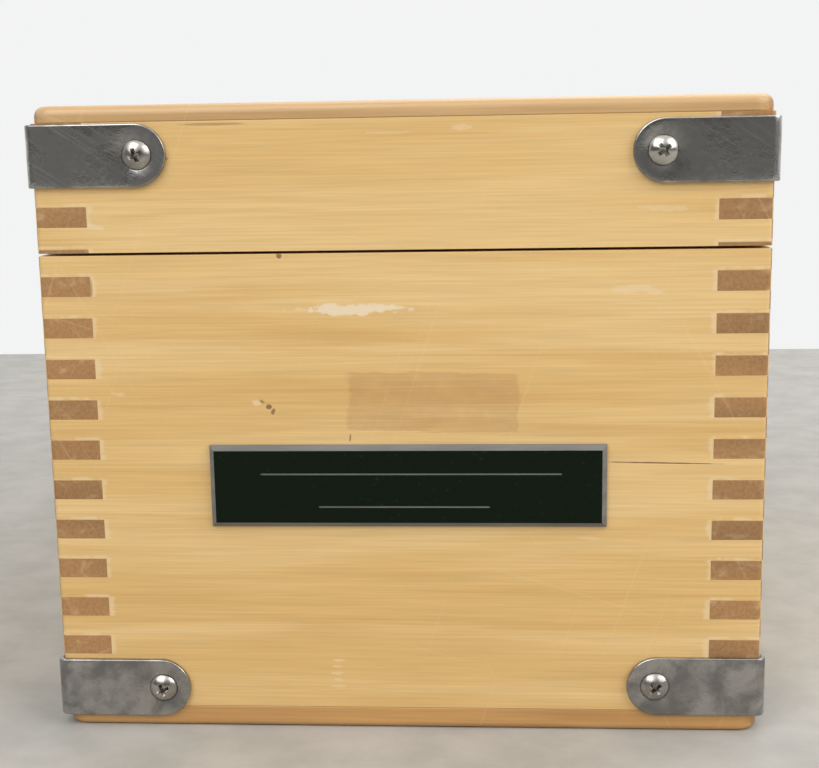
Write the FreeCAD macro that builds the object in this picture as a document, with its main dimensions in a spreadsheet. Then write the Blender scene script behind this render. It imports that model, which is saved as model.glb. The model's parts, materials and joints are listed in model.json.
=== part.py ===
import FreeCAD, Part
import os
import Sketcher

# Finger-jointed wooden case for a pair of workholding blocks.  The frame's origin is the centre of
# the underside: +Z up, the labelled end faces -Y, the hinges are on +X and the hook is on -X.

doc = FreeCAD.newDocument("BlockCase")
sheet = doc.addObject("Spreadsheet::Sheet", "dim")

sizes = [
    # the box
    ("case_width", 138.4),          # across the labelled end
    ("case_depth", 180.0),          # along the hinge side
    ("base_rim", 95.0),             # height of the base's rim over the table
    ("lid_gap", 0.5),               # left open between the two rims
    ("lid_height", 27.6),           # rim to top, outside
    ("wall", 10.0),                 # every upright board
    ("bottom_thickness", 4.4),
    ("top_thickness", 3.2),
    ("corner_round", 1.0),          # upright corners of the boards
    ("panel_corner", 4.0),          # panels, seen from above
    ("bottom_round", 1.4),          # lower edge of the bottom panel
    ("top_round", 1.9),             # upper edge of the top panel
    # the finger joints, cut in one go before the lid is sawn off
    ("finger_pitch", 8.0),
    ("finger_height", 3.8),         # fingers of the hinge-side and hook-side boards
    ("rim_trim", 0.2),              # planed off the base's rim, out of the land over its first finger
    ("saw_kerf", 3.1),              # lost when the lid was sawn off
    # corner brackets
    ("bracket_thickness", 1.0),
    ("bracket_width", 11.8),
    ("bracket_reach", 25.9),        # each leg, from the corner of the wood
    ("bracket_bend", 0.8),          # inner radius
    ("bracket_edge", 0.35),         # rounding of the outer edges
    ("bracket_hole_inset", 5.5),    # hole centre from the leg's tip
    ("bracket_hole", 2.1),
    ("bracket_sink", 0.9),          # depth of the countersink
    ("low_front_left", 8.4),        # bracket centres over the table
    ("low_front_right", 9.6),
    ("low_rear_left", 8.8),
    ("low_rear_right", 9.0),
    ("top_front_left", 9.35),       # bracket centres under the top
    ("top_front_right", 9.95),
    ("top_rear_left", 9.6),
    ("top_rear_right", 9.5),
    # raised countersunk screws of the brackets
    ("screw_head", 2.8),
    ("screw_dome", 1.2),
    ("screw_shank", 1.4),
    ("screw_length", 8.6),
    ("screw_tip", 2.2),
    ("recess_arm", 1.55),
    ("recess_half_width", 0.36),
    ("recess_depth", 1.35),
    ("pilot_clearance", 0.05),
    # fittings inside the base
    ("divider_thickness", 8.0),
    ("divider_height", 60.0),
    ("groove_depth", 3.0),
    ("joint_clearance", 0.15),
    ("packer_width", 18.0),
    ("packer_height", 22.0),
    ("packer_chamfer", 2.0),
    # bevelled label plate
    ("plate_length", 76.6),
    ("plate_height", 16.2),
    ("plate_thickness", 1.5),
    ("plate_bevel", 1.0),
    ("plate_centre", 50.05),        # over the table
    ("plate_offset", 0.85),         # to the right of the middle
    # butt hinges
    ("hinge_length", 38.0),
    ("hinge_spacing", 80.0),
    ("leaf_height", 12.0),          # from the pin's axis
    ("leaf_thickness", 1.2),
    ("leaf_corner", 1.5),
    ("knuckle_radius", 2.4),
    ("knuckle_gap", 0.3),
    ("hinge_standoff", 0.2),        # between the knuckles and the wood
    ("hinge_pin", 1.2),
    ("running_clearance", 0.05),
    ("pin_overhang", 0.5),
    ("leaf_screw_drop", 7.4),       # from the pin's axis
    ("leaf_screw_spacing", 24.0),
    ("leaf_screw_head", 2.2),
    ("leaf_screw_sink", 0.95),
    ("leaf_screw_shank", 1.2),
    ("leaf_screw_length", 8.4),
    ("leaf_screw_tip", 1.8),
    ("sink_clearance", 0.1),
    # swing hook
    ("hook_drop", 12.0),            # pivot under the base's rim
    ("hook_span", 21.5),            # pivot to stud
    ("hook_thickness", 1.2),
    ("hook_gap", 0.2),              # free play along the pivot
    ("hook_eye", 4.6),
    ("hook_head", 5.2),
    ("hook_arm", 3.0),
    ("hook_blend", 3.0),
    ("hook_tail", 9.0),
    ("hook_tail_half", 2.2),
    ("throat_clearance", 0.25),
    ("throat_angle", 20.0),
    ("collar_height", 1.3),
    ("washer_radius", 3.7),
    ("pivot_shoulder", 1.9),
    ("pivot_head", 3.4),
    ("stud_neck", 1.6),
    ("stud_head", 3.0),
    ("latch_dome", 1.3),
    ("latch_shank", 1.4),
    ("latch_screw_depth", 7.5),
    ("driver_slot", 0.35),          # half its width
    ("driver_slot_depth", 0.7),
]

for row, (alias, number) in enumerate(sizes, start=1):
    sheet.set(f"A{row}", alias)
    sheet.set(f"B{row}", str(number))
    sheet.setAlias(f"B{row}", alias)
doc.recompute()

overcut = 2.0      # how far a cutting outline runs past the wood or metal that it trims
tolerance = 1e-4   # for picking edges by their place

# derived lengths that many pieces share, as expressions of the sheet
half_width = "dim.case_width / 2"
half_depth = "dim.case_depth / 2"
lid_rim = "dim.base_rim + dim.lid_gap"
case_height = f"({lid_rim} + dim.lid_height)"
base_board_height = "(dim.base_rim - dim.bottom_thickness)"
lid_board_height = "(dim.lid_height - dim.top_thickness)"
gap_height = "(dim.finger_pitch - dim.finger_height)"
first_land = f"({gap_height} - dim.rim_trim)"
lid_sliver = "(dim.finger_height - dim.saw_kerf)"
bracket_hole_place = "(dim.bracket_reach - dim.bracket_hole_inset)"
hinge_axis_out = "(dim.knuckle_radius + dim.hinge_standoff)"
hinge_axis_height = "(dim.base_rim + dim.lid_gap / 2)"
hook_pivot_height = "(dim.base_rim - dim.hook_drop)"
stud_height = f"({hook_pivot_height} + dim.hook_span)"

parts = {}         # node name: the object whose shape is written


def value(expression):
    return float(sheet.evalExpression(expression))


def check(feature):
    if "Invalid" in feature.State or "Error" in feature.State:
        raise RuntimeError(f"{feature.Label} failed: {feature.State}")
    if feature.Shape.isNull() or not feature.Shape.isValid():
        raise RuntimeError(f"{feature.Label} has no valid shape")


# ---- sketches -----------------------------------------------------------------------------------

def new_body(name):
    body = doc.addObject("PartDesign::Body", name)
    body.Label = name
    return body


def origin_feature(body, role):
    return next(item for item in body.Origin.OriginFeatures if item.Role == role)


def new_sketch(body, name, plane, offset="0"):
    sketch = body.newObject("Sketcher::SketchObject", name)
    sketch.AttachmentSupport = [(origin_feature(body, plane), "")]
    sketch.MapMode = "FlatFace"
    sketch.setExpression("AttachmentOffset.Base.z", offset)
    return sketch


def pin_point(sketch, geometry, point, x, y):
    # ties one point's two coordinates to expressions of the sheet
    for kind, expression in (("DistanceX", x), ("DistanceY", y)):
        if expression is None:
            continue
        constraint = Sketcher.Constraint(kind, -1, 1, geometry, point, value(expression))
        index = sketch.addConstraint(constraint)
        sketch.setExpression(f"Constraints[{index}]", expression)


def outline(sketch, start, steps):
    # A closed outline.  A step (x, y) is a line; (x, y, centre x, centre y, turn) is an arc,
    # whose turn is "left" where it runs anticlockwise.
    where = FreeCAD.Vector(value(start[0]), value(start[1]), 0)
    ends = []
    for step in steps:
        target = FreeCAD.Vector(value(step[0]), value(step[1]), 0)
        if len(step) == 2:
            geometry = sketch.addGeometry(Part.LineSegment(where, target), False)
            first, last = 1, 2
        else:
            centre = FreeCAD.Vector(value(step[2]), value(step[3]), 0)
            circle = Part.Circle(centre, FreeCAD.Vector(0, 0, 1), (where - centre).Length)
            left = step[4] == "left"
            low, high = (where, target) if left else (target, where)
            arc = Part.ArcOfCircle(circle, circle.parameter(low), circle.parameter(high))
            geometry = sketch.addGeometry(arc, False)
            first, last = (1, 2) if left else (2, 1)
            chord = target - where
            if abs(chord.y) > abs(chord.x):
                pin_point(sketch, geometry, 3, step[2], None)
            else:
                pin_point(sketch, geometry, 3, None, step[3])
        pin_point(sketch, geometry, last, step[0], step[1])
        ends.append((geometry, first, last))
        where = target
    for (before, _, last), (after, first, _) in zip(ends, ends[1:] + ends[:1]):
        sketch.addConstraint(Sketcher.Constraint("Coincident", before, last, after, first))


def rectangle(sketch, left, low, right, high):
    outline(sketch, (left, low), [(right, low), (right, high), (left, high), (left, low)])


def circle(sketch, x, y, radius):
    centre = FreeCAD.Vector(value(x), value(y), 0)
    geometry = sketch.addGeometry(Part.Circle(centre, FreeCAD.Vector(0, 0, 1), value(radius)), False)
    pin_point(sketch, geometry, 3, x, y)
    index = sketch.addConstraint(Sketcher.Constraint("Radius", geometry, value(radius)))
    sketch.setExpression(f"Constraints[{index}]", radius)


# ---- features -----------------------------------------------------------------------------------

def finish(body, feature):
    body.Tip = feature
    doc.recompute()
    check(feature)
    return feature


def pad(body, name, sketch, length, symmetric=False, backwards=False):
    feature = body.newObject("PartDesign::Pad", name)
    feature.Profile = sketch
    feature.setExpression("Length", length)
    feature.SideType = "Symmetric" if symmetric else "One side"
    feature.Reversed = backwards
    return finish(body, feature)


def pocket(body, name, sketch, depth=None):
    # cuts to a depth against the sketch's normal, or right through both ways
    before = body.Tip.Shape.Volume
    feature = body.newObject("PartDesign::Pocket", name)
    feature.Profile = sketch
    if depth is None:
        feature.Type = "ThroughAll"
        feature.SideType = "Symmetric"
    else:
        feature.setExpression("Length", depth)
    finish(body, feature)
    if feature.Shape.Volume >= before:
        raise RuntimeError(f"{feature.Label} cuts nothing")
    return feature


def repeat(body, name, original, axis, spacing, count, backwards=False):
    feature = body.newObject("PartDesign::LinearPattern", name)
    feature.Originals = [original]
    feature.Direction = (origin_feature(body, axis), [""])
    feature.Mode = "Spacing"
    feature.Reversed = backwards
    feature.setExpression("Offset", spacing)
    feature.setExpression("Occurrences", count)
    return finish(body, feature)


def turned(body, name, sketch):
    feature = body.newObject("PartDesign::Revolution", name)
    feature.Profile = sketch
    feature.ReferenceAxis = (sketch, ["V_Axis"])
    feature.Angle = 360
    return finish(body, feature)


def edges_where(feature, test):
    names = [f"Edge{number}" for number, edge in enumerate(feature.Shape.Edges, start=1) if test(edge)]
    if not names:
        raise RuntimeError(f"{feature.Label} has no such edge")
    return names


def fillet(body, name, radius, test):
    base = body.Tip
    names = edges_where(base, test)
    feature = body.newObject("PartDesign::Fillet", name)
    feature.Base = (base, names)
    feature.setExpression("Radius", radius)
    return finish(body, feature)


def chamfer(body, name, size, test):
    base = body.Tip
    names = edges_where(base, test)
    feature = body.newObject("PartDesign::Chamfer", name)
    feature.Base = (base, names)
    feature.setExpression("Size", size)
    return finish(body, feature)


def all_at(edge, axis, place):
    box = edge.BoundBox
    low, high = {"x": (box.XMin, box.XMax), "y": (box.YMin, box.YMax), "z": (box.ZMin, box.ZMax)}[axis]
    return abs(low - place) < tolerance and abs(high - place) < tolerance


# ---- places -------------------------------------------------------------------------------------

def put(item, x, y, z, rotation=None):
    item.Placement = FreeCAD.Placement(FreeCAD.Vector(), rotation or FreeCAD.Rotation())
    for axis, expression in (("x", x), ("y", y), ("z", z)):
        item.setExpression(f"Placement.Base.{axis}", expression)


# Each upright side: its turn about Z, how far it stands out from the middle, and which way is out.
sides = {
    "front": (0, half_depth, (0, -1)),
    "right": (90, half_width, (1, 0)),
    "rear": (180, half_depth, (0, 1)),
    "left": (270, half_width, (-1, 0)),
}


def upright_turn(side, spin=0.0):
    # local x runs along the side, local y is up and local z points out of the case
    about_z = FreeCAD.Rotation(FreeCAD.Vector(0, 0, 1), sides[side][0])
    about_x = FreeCAD.Rotation(FreeCAD.Vector(1, 0, 0), 90)
    return about_z * about_x * FreeCAD.Rotation(FreeCAD.Vector(0, 0, 1), spin)


def put_on_side(item, side, along, height, spin=0.0, out="0"):
    # along is measured to the right, as the side is seen from outside
    turn, reach, (out_x, out_y) = sides[side]
    distance = f"({reach} + {out})"
    x = f"{out_x} * {distance} - ({out_y}) * ({along})"
    y = f"{out_y} * {distance} + ({out_x}) * ({along})"
    put(item, x, y, height, upright_turn(side, spin))


# ---- boards and panels --------------------------------------------------------------------------

def board(name, side, length, height, lift, first_low, first_high, count, downwards):
    # An upright board seen from outside: local x along it, y = 0 its outer face, z = 0 its foot.
    body = new_body(name)
    plan = new_sketch(body, f"{name}_plan", "XY_Plane")
    end = f"{length} / 2"
    near = "dim.corner_round"
    outline(plan, (f"-{end} + {near}", "0"), [
        (f"{end} - {near}", "0"),
        (end, near, f"{end} - {near}", near, "left"),
        (end, "dim.wall"),
        (f"-{end}", "dim.wall"),
        (f"-{end}", near),
        (f"-{end} + {near}", "0", f"-{end} + {near}", near, "left"),
    ])
    pad(body, f"{name}_blank", plan, height)
    notch = new_sketch(body, f"{name}_notch", "XZ_Plane")
    for sign in ("-1", "1"):
        inner = f"{sign} * ({end} - dim.wall)"
        outer = f"{sign} * ({end} + {overcut})"
        rectangle(notch, inner, first_low, outer, first_high)
    first = body.newObject("PartDesign::Pocket", f"{name}_first_notches")
    first.Profile = notch
    first.Type = "ThroughAll"
    first.SideType = "Symmetric"
    finish(body, first)
    repeat(body, f"{name}_fingers", first, "Z_Axis", "dim.finger_pitch", count, downwards)
    turn, reach, (out_x, out_y) = sides[side]
    about_z = FreeCAD.Rotation(FreeCAD.Vector(0, 0, 1), turn)
    put(body, f"{out_x} * {reach}", f"{out_y} * {reach}", lift, about_z)
    parts[name] = body
    return body


def pilot_holes(body, name, places, radius, depth):
    holes = new_sketch(body, name, "XZ_Plane")
    for along, height in places:
        circle(holes, along, height, radius)
    pocket(body, f"{name}_cut", holes, depth)


def panel(name, lift, thickness, rounding, round_top):
    body = new_body(name)
    plan = new_sketch(body, f"{name}_plan", "XY_Plane")
    x, y, r = half_width, half_depth, "dim.panel_corner"
    outline(plan, (f"-({x}) + {r}", f"-({y})"), [
        (f"{x} - {r}", f"-({y})"),
        (x, f"-({y}) + {r}", f"{x} - {r}", f"-({y}) + {r}", "left"),
        (x, f"{y} - {r}"),
        (f"{x} - {r}", y, f"{x} - {r}", f"{y} - {r}", "left"),
        (f"-({x}) + {r}", y),
        (f"-({x})", f"{y} - {r}", f"-({x}) + {r}", f"{y} - {r}", "left"),
        (f"-({x})", f"-({y}) + {r}"),
        (f"-({x}) + {r}", f"-({y})", f"-({x}) + {r}", f"-({y}) + {r}", "left"),
    ])
    pad(body, f"{name}_sheet", plan, thickness)
    level = value(thickness) if round_top else 0.0
    fillet(body, f"{name}_round", rounding, lambda edge: all_at(edge, "z", level))
    put(body, "0", "0", lift)
    parts[name] = body


# Corners: the two sides that meet there, and the bracket's turn about Z.
corners = {
    "front_left": ("left", "front", 0),
    "front_right": ("front", "right", 90),
    "rear_right": ("right", "rear", 180),
    "rear_left": ("rear", "left", 270),
}


def bracket_centre(half, corner):
    if half == "base":
        return f"dim.low_{corner}"
    return f"({case_height} - dim.top_{corner})"


def bracket_places(half, side):
    # where the two bracket screws of one side go: (along, height over the table)
    places = []
    for corner, (ends_here, starts_here, _) in corners.items():
        reach = half_width if side in ("front", "rear") else half_depth
        if ends_here == side:
            places.append((f"({reach} - {bracket_hole_place})", bracket_centre(half, corner)))
        if starts_here == side:
            places.append((f"-({reach} - {bracket_hole_place})", bracket_centre(half, corner)))
    return places


def leaf_screw_places(half):
    # the hinge screws, along the right side
    height = f"({hinge_axis_height} {'-' if half == 'base' else '+'} dim.leaf_screw_drop)"
    return [(f"({hinge} * dim.hinge_spacing / 2 + {screw} * dim.leaf_screw_spacing / 2)", height)
            for hinge in (-1, 1) for screw in (-1, 1)]


halves = {
    "base": {"lift": "dim.bottom_thickness", "height": base_board_height, "downwards": True},
    "lid": {"lift": lid_rim, "height": lid_board_height, "downwards": False},
}

# first notch of the end boards and of the long boards: low, high, how many
finger_rows = {
    ("base", "end"): (
        f"{base_board_height} - {first_land} - dim.finger_height",
        f"{base_board_height} - {first_land}",
        f"ceil(({base_board_height} - {first_land}) / dim.finger_pitch)"),
    ("base", "long"): (
        f"{base_board_height} - {first_land}",
        f"{base_board_height} - {first_land} + {gap_height}",
        f"1 + ceil(({base_board_height} - {first_land} - dim.finger_height) / dim.finger_pitch)"),
    ("lid", "end"): (
        f"{lid_sliver} - dim.finger_height",
        lid_sliver,
        f"ceil(({lid_board_height} + dim.finger_height - {lid_sliver}) / dim.finger_pitch)"),
    ("lid", "long"): (
        lid_sliver,
        f"{lid_sliver} + {gap_height}",
        f"ceil(({lid_board_height} - {lid_sliver}) / dim.finger_pitch)"),
}

for half, facts in halves.items():
    for side in sides:
        kind = "end" if side in ("front", "rear") else "long"
        length = "dim.case_width" if kind == "end" else "dim.case_depth"
        low, high, count = finger_rows[half, kind]
        name = f"{half}_{side}_board"
        made = board(name, side, length, facts["height"], facts["lift"], low, high, count,
                     facts["downwards"])
        lift = facts["lift"]
        screws = [(along, f"{height} - ({lift})") for along, height in bracket_places(half, side)]
        pilot_holes(made, f"{name}_bracket_pilots", screws,
                    "dim.screw_shank + dim.pilot_clearance",
                    "dim.screw_length - dim.bracket_thickness + dim.joint_clearance")
        if side == "right":
            screws = [(along, f"{height} - ({lift})") for along, height in leaf_screw_places(half)]
            pilot_holes(made, f"{name}_hinge_pilots", screws,
                        "dim.leaf_screw_shank + dim.pilot_clearance",
                        "dim.leaf_screw_length - dim.leaf_thickness + dim.joint_clearance")
        if side == "left":
            height = hook_pivot_height if half == "base" else stud_height
            pilot_holes(made, f"{name}_latch_pilot", [("0", f"{height} - ({lift})")],
                        "dim.latch_shank + dim.pilot_clearance",
                        "dim.latch_screw_depth + dim.joint_clearance")
        if half == "base" and kind == "long":
            groove = new_sketch(made, f"{name}_groove", "XY_Plane")
            slack = "dim.divider_thickness / 2 + dim.joint_clearance"
            rectangle(groove, f"-({slack})", "dim.wall - dim.groove_depth",
                      slack, f"dim.wall + {overcut}")
            pocket(made, f"{name}_groove_cut", groove)

panel("bottom_panel", "0", "dim.bottom_thickness", "dim.bottom_round", False)
panel("top_panel", f"{lid_rim} + {lid_board_height}", "dim.top_thickness", "dim.top_round", True)


# ---- fittings inside the base -------------------------------------------------------------------

def centre_divider():
    # slides in the side boards' grooves and is notched over the two packers
    body = new_body("centre_divider")
    face = new_sketch(body, "divider_face", "XZ_Plane")
    edge = f"({half_width} - dim.wall + dim.groove_depth - dim.joint_clearance)"
    foot = f"({half_width} - dim.wall - dim.packer_width - dim.joint_clearance)"
    notch = "dim.packer_height + dim.joint_clearance"
    outline(face, (f"-{foot}", "0"), [
        (foot, "0"),
        (foot, notch),
        (edge, notch),
        (edge, "dim.divider_height"),
        (f"-{edge}", "dim.divider_height"),
        (f"-{edge}", notch),
        (f"-{foot}", notch),
        (f"-{foot}", "0"),
    ])
    pad(body, "divider_board", face, "dim.divider_thickness", symmetric=True)
    put(body, "0", "0", "dim.bottom_thickness")
    parts["centre_divider"] = body


def packer(name, sign):
    body = new_body(name)
    section = new_sketch(body, f"{name}_section", "XZ_Plane")
    outer = f"{sign} * ({half_width} - dim.wall)"
    inner = f"{sign} * ({half_width} - dim.wall - dim.packer_width)"
    eased = f"{sign} * ({half_width} - dim.wall - dim.packer_width + dim.packer_chamfer)"
    outline(section, (outer, "0"), [
        (inner, "0"),
        (inner, "dim.packer_height - dim.packer_chamfer"),
        (eased, "dim.packer_height"),
        (outer, "dim.packer_height"),
        (outer, "0"),
    ])
    length = "dim.case_depth - 2 * dim.wall - 2 * dim.joint_clearance"
    pad(body, f"{name}_strip", section, length, symmetric=True)
    put(body, "0", "0", "dim.bottom_thickness")
    parts[name] = body


centre_divider()
packer("left_packer", -1)
packer("right_packer", 1)


# ---- label plate --------------------------------------------------------------------------------

def name_plate():
    body = new_body("name_plate")
    face = new_sketch(body, "plate_face", "XY_Plane")
    rectangle(face, "-dim.plate_length / 2", "-dim.plate_height / 2",
              "dim.plate_length / 2", "dim.plate_height / 2")
    pad(body, "plate_blank", face, "dim.plate_thickness")
    front = value("dim.plate_thickness")
    chamfer(body, "plate_bevels", "dim.plate_bevel", lambda edge: all_at(edge, "z", front))
    put_on_side(body, "front", "dim.plate_offset", "dim.plate_centre")
    parts["name_plate"] = body


name_plate()


# ---- corner brackets ----------------------------------------------------------------------------

def corner_bracket(name, half, corner):
    # An L of strip with round ends.  The corner of the wood is the local origin and the wood
    # fills +X +Y; z = 0 is the strip's middle.
    body = new_body(name)
    bend = new_sketch(body, f"{name}_bend", "XY_Plane")
    out, reach, inner = "dim.bracket_thickness", "dim.bracket_reach", "dim.bracket_bend"
    outline(bend, (inner, f"-{out}"), [
        (reach, f"-{out}"),
        (reach, "0"),
        (inner, "0"),
        ("0", inner, inner, inner, "right"),
        ("0", reach),
        (f"-{out}", reach),
        (f"-{out}", inner),
        (inner, f"-{out}", inner, inner, "left"),
    ])
    pad(body, f"{name}_strip", bend, "dim.bracket_width", symmetric=True)
    radius = "dim.bracket_width / 2"
    for plane in ("XZ_Plane", "YZ_Plane"):
        end = new_sketch(body, f"{name}_end_{plane}", plane)
        outline(end, (f"{reach} - {radius}", radius), [
            (f"{reach} + {overcut}", radius),
            (f"{reach} + {overcut}", f"-{radius}"),
            (f"{reach} - {radius}", f"-{radius}"),
            (f"{reach} - {radius}", radius, f"{reach} - {radius}", "0", "left"),
        ])
        pocket(body, f"{name}_round_{plane}", end)
    out_place = -value(out)

    def on_outer_rim(edge):
        ends = edge.Vertexes
        if len(ends) < 2:
            return False
        outside = all(min(end.X, end.Y) < out_place + tolerance for end in ends)
        upright = abs(ends[0].X - ends[1].X) < tolerance and abs(ends[0].Y - ends[1].Y) < tolerance
        straight = isinstance(edge.Curve, Part.Line)
        return outside and not (upright and straight)

    fillet(body, f"{name}_edges", "dim.bracket_edge", on_outer_rim)
    for plane, axis in (("XZ_Plane", "y"), ("YZ_Plane", "x")):
        hole = new_sketch(body, f"{name}_hole_{plane}", plane)
        circle(hole, bracket_hole_place, "0", "dim.bracket_hole")
        pocket(body, f"{name}_drill_{plane}", hole)
        chamfer(body, f"{name}_sink_{plane}", "dim.bracket_sink",
                lambda edge: len(edge.Vertexes) == 1 and all_at(edge, axis, out_place))
    turn = corners[corner][2]
    sign_x = "-1" if corner.endswith("left") else "1"
    sign_y = "-1" if corner.startswith("front") else "1"
    put(body, f"{sign_x} * {half_width}", f"{sign_y} * {half_depth}", bracket_centre(half, corner),
        FreeCAD.Rotation(FreeCAD.Vector(0, 0, 1), turn))
    parts[name] = body


for half in halves:
    for corner in corners:
        corner_bracket(f"{half}_corner_bracket_{corner}", half, corner)


# ---- screws -------------------------------------------------------------------------------------

def bracket_screw():
    # raised countersunk screw with a cross recess; z = 0 is the bracket's outer face
    body = new_body("bracket_screw_pattern")
    half_section = new_sketch(body, "bracket_screw_section", "XZ_Plane")
    head, dome = "dim.screw_head", "dim.screw_dome"
    neck = "dim.screw_head - dim.bracket_sink"
    shank_end = "-(dim.screw_length - dim.screw_tip)"
    outline(half_section, ("0", dome), [
        (head, "0", "0", f"({dome} ^ 2 - {head} ^ 2) / (2 * {dome})", "right"),
        (neck, "-dim.bracket_sink"),
        ("dim.screw_shank", "-dim.bracket_sink"),
        ("dim.screw_shank", shank_end),
        ("0", "-dim.screw_length"),
        ("0", dome),
    ])
    turned(body, "bracket_screw_turned", half_section)
    recess = new_sketch(body, "bracket_screw_recess", "XY_Plane", dome)
    arm, side = "dim.recess_arm", "dim.recess_half_width"
    outline(recess, (side, side), [
        (side, arm), (f"-{side}", arm), (f"-{side}", side),
        (f"-{arm}", side), (f"-{arm}", f"-{side}"), (f"-{side}", f"-{side}"),
        (f"-{side}", f"-{arm}"), (side, f"-{arm}"), (side, f"-{side}"),
        (arm, f"-{side}"), (arm, side), (side, side),
    ])
    pocket(body, "bracket_screw_cross", recess, "dim.recess_depth")
    return body


def leaf_screw():
    # flat countersunk screw with a straight slot; z = 0 is the leaf's outer face
    body = new_body("leaf_screw_pattern")
    half_section = new_sketch(body, "leaf_screw_section", "XZ_Plane")
    outline(half_section, ("0", "0"), [
        ("dim.leaf_screw_head", "0"),
        ("dim.leaf_screw_head - dim.leaf_screw_sink", "-dim.leaf_screw_sink"),
        ("dim.leaf_screw_shank", "-dim.leaf_screw_sink"),
        ("dim.leaf_screw_shank", "-(dim.leaf_screw_length - dim.leaf_screw_tip)"),
        ("0", "-dim.leaf_screw_length"),
        ("0", "0"),
    ])
    turned(body, "leaf_screw_turned", half_section)
    slot = new_sketch(body, "leaf_screw_slot", "XY_Plane")
    rectangle(slot, f"-(dim.leaf_screw_head + {overcut})", "-dim.driver_slot",
              f"dim.leaf_screw_head + {overcut}", "dim.driver_slot")
    pocket(body, "leaf_screw_slot_cut", slot, "dim.driver_slot_depth")
    return body


def screw_group(name, pattern, places):
    # places: (side, along, height, spin, out); each screw is a link to the one pattern
    links = []
    for number, (side, along, height, spin, out) in enumerate(places, start=1):
        link = doc.addObject("App::Link", f"{name}_{number}")
        link.LinkedObject = pattern
        put_on_side(link, side, along, height, spin, out)
        links.append(link)
    group = doc.addObject("Part::Compound", name)
    group.Label = name
    group.Links = links
    parts[name] = group


bracket_pattern = bracket_screw()
leaf_pattern = leaf_screw()
screw_turns = (20.0, -28.0, 8.0, 37.0, -12.0, 41.0, 25.0, -35.0)   # no two screws stop alike

for half in halves:
    spots = [(side, along, height) for side in sides for along, height in bracket_places(half, side)]
    screw_group(f"{half}_bracket_screws", bracket_pattern,
                [(side, along, height, turn, "dim.bracket_thickness")
                 for (side, along, height), turn in zip(spots, screw_turns)])
    screw_group(f"{half}_hinge_screws", leaf_pattern,
                [("right", along, height, turn, "dim.leaf_thickness")
                 for (along, height), turn in zip(leaf_screw_places(half), screw_turns)])


# ---- hinges -------------------------------------------------------------------------------------

def hinge_leaf(name, up, gaps, along):
    # The pin's axis is the local Y axis and the wood's face is x = -(knuckle + standoff).
    # up is 1 for the lid's leaf and -1 for the base's; gaps lists the knuckles it leaves out.
    body = new_body(name)
    back = f"-{hinge_axis_out}"
    plate = new_sketch(body, f"{name}_plate_section", "XZ_Plane")
    face = f"({back} + dim.leaf_thickness)"
    rectangle(plate, back, "0", face, f"{up} * dim.leaf_height")
    pad(body, f"{name}_plate", plate, "dim.hinge_length", symmetric=True)
    barrel = new_sketch(body, f"{name}_barrel_section", "XZ_Plane")
    circle(barrel, "0", "0", "dim.knuckle_radius")
    pad(body, f"{name}_barrel", barrel, "dim.hinge_length", symmetric=True)
    bore = new_sketch(body, f"{name}_bore_section", "XZ_Plane")
    circle(bore, "0", "0", "dim.hinge_pin + dim.running_clearance")
    pocket(body, f"{name}_bore", bore)
    knuckle = "dim.hinge_length / 5"
    clear = "(dim.knuckle_radius + dim.knuckle_gap)"
    cuts = new_sketch(body, f"{name}_gaps", "YZ_Plane")
    for gap in gaps:
        start = f"(({gap} - 2.5) * {knuckle} - dim.knuckle_gap / 2)"
        stop = f"(({gap} - 1.5) * {knuckle} + dim.knuckle_gap / 2)"
        start = f"{start} - {overcut}" if gap == 0 else start
        stop = f"{stop} + {overcut}" if gap == 4 else stop
        rectangle(cuts, start, f"{up} * {clear}", stop, f"-({up}) * ({clear} + {overcut})")
    pocket(body, f"{name}_knuckles", cuts)
    tip = value(f"{up} * dim.leaf_height")

    def leaf_corner(edge):
        across = abs(edge.BoundBox.XMax - edge.BoundBox.XMin - value("dim.leaf_thickness")) < tolerance
        return across and all_at(edge, "z", tip)

    fillet(body, f"{name}_corners", "dim.leaf_corner", leaf_corner)
    holes = new_sketch(body, f"{name}_holes", "YZ_Plane")
    for sign in (-1, 1):
        circle(holes, f"{sign} * dim.leaf_screw_spacing / 2", f"{up} * dim.leaf_screw_drop",
               "dim.leaf_screw_head - dim.leaf_screw_sink + dim.sink_clearance")
    pocket(body, f"{name}_drill", holes)
    outer = value(face)
    chamfer(body, f"{name}_sink", "dim.leaf_screw_sink",
            lambda edge: len(edge.Vertexes) == 1 and all_at(edge, "x", outer))
    put(body, f"{half_width} + {hinge_axis_out}", along, hinge_axis_height)
    parts[name] = body


def hinge_pin(name, along):
    body = new_body(name)
    section = new_sketch(body, f"{name}_section", "XZ_Plane")
    circle(section, "0", "0", "dim.hinge_pin")
    pad(body, f"{name}_rod", section, "dim.hinge_length + 2 * dim.pin_overhang", symmetric=True)
    chamfer(body, f"{name}_ends", "dim.pin_overhang / 2", lambda edge: len(edge.Vertexes) == 1)
    put(body, f"{half_width} + {hinge_axis_out}", along, hinge_axis_height)
    parts[name] = body


for place, sign in (("front", -1), ("rear", 1)):
    along = f"{sign} * dim.hinge_spacing / 2"
    hinge_leaf(f"base_hinge_leaf_{place}", -1, (1, 3), along)
    hinge_leaf(f"lid_hinge_leaf_{place}", 1, (0, 2, 4), along)
    hinge_pin(f"hinge_pin_{place}", along)


# ---- swing hook ---------------------------------------------------------------------------------

hook_low = "(dim.collar_height + dim.hook_gap)"
head_low = f"({hook_low} + dim.hook_thickness + dim.hook_gap)"


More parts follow.
